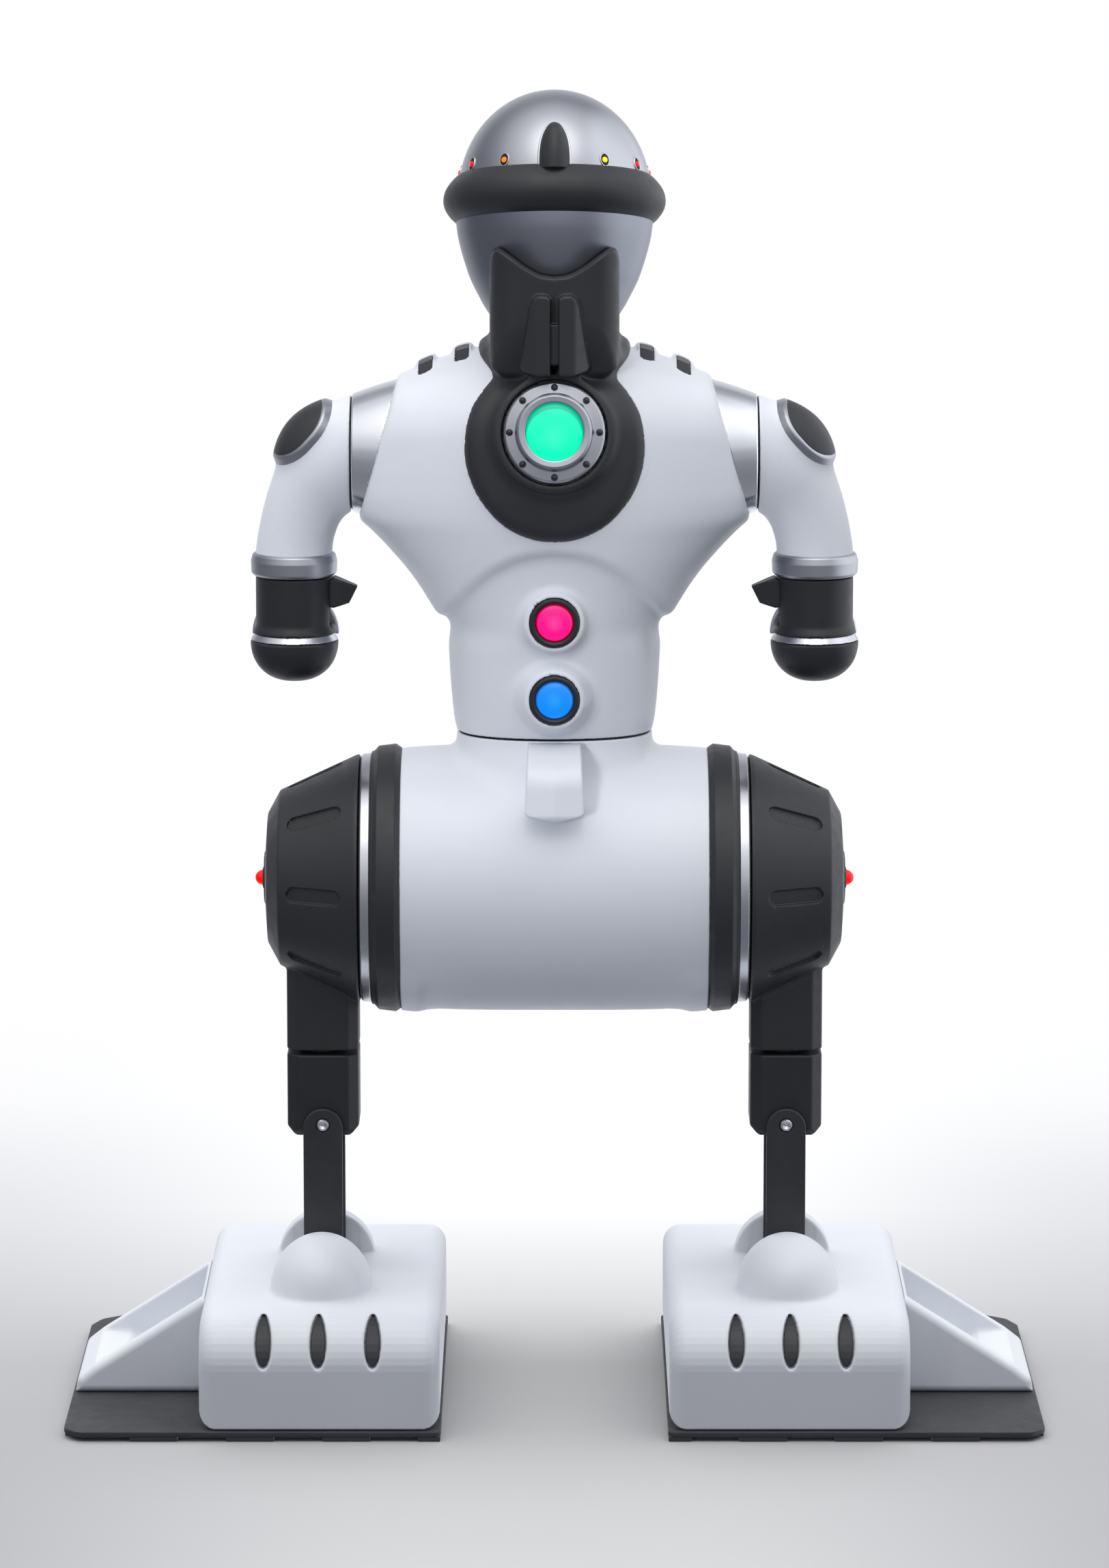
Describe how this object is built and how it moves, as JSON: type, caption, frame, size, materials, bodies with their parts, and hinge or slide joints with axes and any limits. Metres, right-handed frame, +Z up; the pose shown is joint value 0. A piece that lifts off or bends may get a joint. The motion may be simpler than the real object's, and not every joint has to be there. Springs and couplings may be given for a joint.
{
  "type": "self balancing robot",
  "caption": "Toy balancing humanoid with domed head, lamp on the chest, barrel hips, slim servo legs and wide flat outrigger feet.",
  "frame": {"origin": "on the floor under the middle of the bounding box, between the two feet", "axes": "+Z up, +X to the robot's left-hand side as seen by a viewer facing its chest lamp, -Y towards that viewer"},
  "size_m": [0.3256, 0.155, 0.4404],
  "materials": {
    "white_shell": "satin white moulded plastic",
    "dark_plastic": "matte charcoal moulded plastic",
    "dark_metal": "black anodised bracket",
    "dark_rubber": "fine-grained rubbery sole",
    "dark_bolt": "blackened small bolts",
    "polished_metal": "satin chrome",
    "satin_metal": "satin grey metal",
    "green_lens": "lit translucent lens",
    "magenta_lens": "lit translucent cap",
    "blue_lens": "lit translucent cap",
    "red_led": "lit lens",
    "inner_dark": "servo case",
    "battery_wrap": "heat-shrink wrapped cells",
    "board_green": "circuit board"
  },
  "bodies": {
    "pelvis": {"pelvis_shell": "white_shell", "pelvis_crest": "white_shell", "hip_bezels": "dark_plastic", "hip_rings": "polished_metal", "hip_servos": "inner_dark"},
    "torso": {"chest_yoke": "dark_plastic", "lamp_ring": "satin_metal", "lamp_bolts": "dark_bolt", "lamp_lens": "green_lens", "shoulder_sleeves": "polished_metal", "shoulder_servos": "inner_dark", "button_bezels": "dark_plastic", "waist_spindle": "inner_dark", "battery_pack": "battery_wrap", "main_board": "board_green", "battery_door": "white_shell", "torso_front_shell": "white_shell", "torso_rear_shell": "white_shell", "rib_inserts": "dark_plastic"},
    "head": {"dome_shell": "polished_metal", "dome_crest": "dark_plastic", "dome_leds": "red_led", "brim": "dark_plastic", "head_bowl": "satin_metal"},
    "magenta_button": {"button_magenta": "magenta_lens"},
    "blue_button": {"button_blue": "blue_lens"},
    "arm_l": {"arm_shell_l": "white_shell", "shoulder_pad_l": "dark_plastic", "wrist_ring_l": "satin_metal"},
    "hand_l": {"hand_body_l": "dark_plastic", "hand_trim_l": "satin_metal", "hand_cap_l": "dark_plastic"},
    "thumb_l": {"thumb_l": "dark_plastic"},
    "hip_l": {"hip_housing_l": "dark_plastic", "hip_led_l": "red_led"},
    "thigh_l": {"thigh_block_l": "dark_plastic"},
    "shin_l": {"shin_bracket_l": "dark_metal", "knee_pin_l": "satin_metal"},
    "foot_l": {"foot_shell_l": "white_shell", "toe_inserts_l": "dark_plastic", "ankle_pin_l": "satin_metal", "outrigger_l": "white_shell", "sole_plate_l": "dark_rubber"},
    "arm_r": {"arm_shell_r": "white_shell", "shoulder_pad_r": "dark_plastic", "wrist_ring_r": "satin_metal"},
    "hand_r": {"hand_body_r": "dark_plastic", "hand_trim_r": "satin_metal", "hand_cap_r": "dark_plastic"},
    "thumb_r": {"thumb_r": "dark_plastic"},
    "hip_r": {"hip_housing_r": "dark_plastic", "hip_led_r": "red_led"},
    "thigh_r": {"thigh_block_r": "dark_plastic"},
    "shin_r": {"shin_bracket_r": "dark_metal", "knee_pin_r": "satin_metal"},
    "foot_r": {"foot_shell_r": "white_shell", "toe_inserts_r": "dark_plastic", "ankle_pin_r": "satin_metal", "outrigger_r": "white_shell", "sole_plate_r": "dark_rubber"}
  },
  "joints": [
    {"name": "waist_yaw", "type": "hinge", "parent": "pelvis", "child": "torso", "pos_m": [0, 0, 0.2263], "axis": [0, 0, 1], "range_deg": [-60, 60]},
    {"name": "head_yaw", "type": "hinge", "parent": "torso", "child": "head", "pos_m": [0, 0, 0.4039], "axis": [0, 0.2079, 0.9781], "range_deg": [-45, 45]},
    {"name": "magenta_press", "type": "slide", "parent": "torso", "child": "magenta_button", "axis": [0, 1, 0], "range_m": [0, 0.0012], "stiffness_N_per_m": 400, "springref_m": -0.0004},
    {"name": "blue_press", "type": "slide", "parent": "torso", "child": "blue_button", "axis": [0, 1, 0], "range_m": [0, 0.0012], "stiffness_N_per_m": 400, "springref_m": -0.0004},
    {"name": "shoulder_pitch_l", "type": "hinge", "parent": "torso", "child": "arm_l", "pos_m": [-0.0679, 0, 0.3198], "axis": [-1, 0, 0], "range_deg": [-60, 170]},
    {"name": "wrist_roll_l", "type": "hinge", "parent": "arm_l", "child": "hand_l", "pos_m": [-0.0872, 0, 0.2786], "axis": [0, 0, 1], "range_deg": [-90, 90]},
    {"name": "thumb_pivot_l", "type": "hinge", "parent": "hand_l", "child": "thumb_l", "pos_m": [-0.0772, 0, 0.2714], "axis": [0, 1, 0], "range_deg": [0, 22]},
    {"name": "hip_pitch_l", "type": "hinge", "parent": "pelvis", "child": "hip_l", "pos_m": [-0.0655, 0, 0.1754], "axis": [-1, 0, 0], "range_deg": [-45, 75]},
    {"name": "thigh_yaw_l", "type": "hinge", "parent": "hip_l", "child": "thigh_l", "pos_m": [-0.0782, 0, 0.1175], "axis": [0, 0, -1], "range_deg": [-15, 25]},
    {"name": "knee_roll_l", "type": "hinge", "parent": "thigh_l", "child": "shin_l", "pos_m": [-0.0782, 0, 0.0932], "axis": [0, 1, 0], "range_deg": [-6, 18]},
    {"name": "ankle_roll_l", "type": "hinge", "parent": "shin_l", "child": "foot_l", "pos_m": [-0.0782, 0, 0.0456], "axis": [0, -1, 0], "range_deg": [-8, 12]},
    {"name": "shoulder_pitch_r", "type": "hinge", "parent": "torso", "child": "arm_r", "pos_m": [0.0679, 0, 0.3198], "axis": [-1, 0, 0], "range_deg": [-60, 170]},
    {"name": "wrist_roll_r", "type": "hinge", "parent": "arm_r", "child": "hand_r", "pos_m": [0.0872, 0, 0.2786], "axis": [0, 0, -1], "range_deg": [-90, 90]},
    {"name": "thumb_pivot_r", "type": "hinge", "parent": "hand_r", "child": "thumb_r", "pos_m": [0.0772, 0, 0.2714], "axis": [0, -1, 0], "range_deg": [0, 22]},
    {"name": "hip_pitch_r", "type": "hinge", "parent": "pelvis", "child": "hip_r", "pos_m": [0.0655, 0, 0.1754], "axis": [-1, 0, 0], "range_deg": [-45, 75]},
    {"name": "thigh_yaw_r", "type": "hinge", "parent": "hip_r", "child": "thigh_r", "pos_m": [0.0782, 0, 0.1175], "axis": [0, 0, 1], "range_deg": [-15, 25]},
    {"name": "knee_roll_r", "type": "hinge", "parent": "thigh_r", "child": "shin_r", "pos_m": [0.0782, 0, 0.0932], "axis": [0, -1, 0], "range_deg": [-6, 18]},
    {"name": "ankle_roll_r", "type": "hinge", "parent": "shin_r", "child": "foot_r", "pos_m": [0.0782, 0, 0.0456], "axis": [0, 1, 0], "range_deg": [-8, 12]}
  ]
}
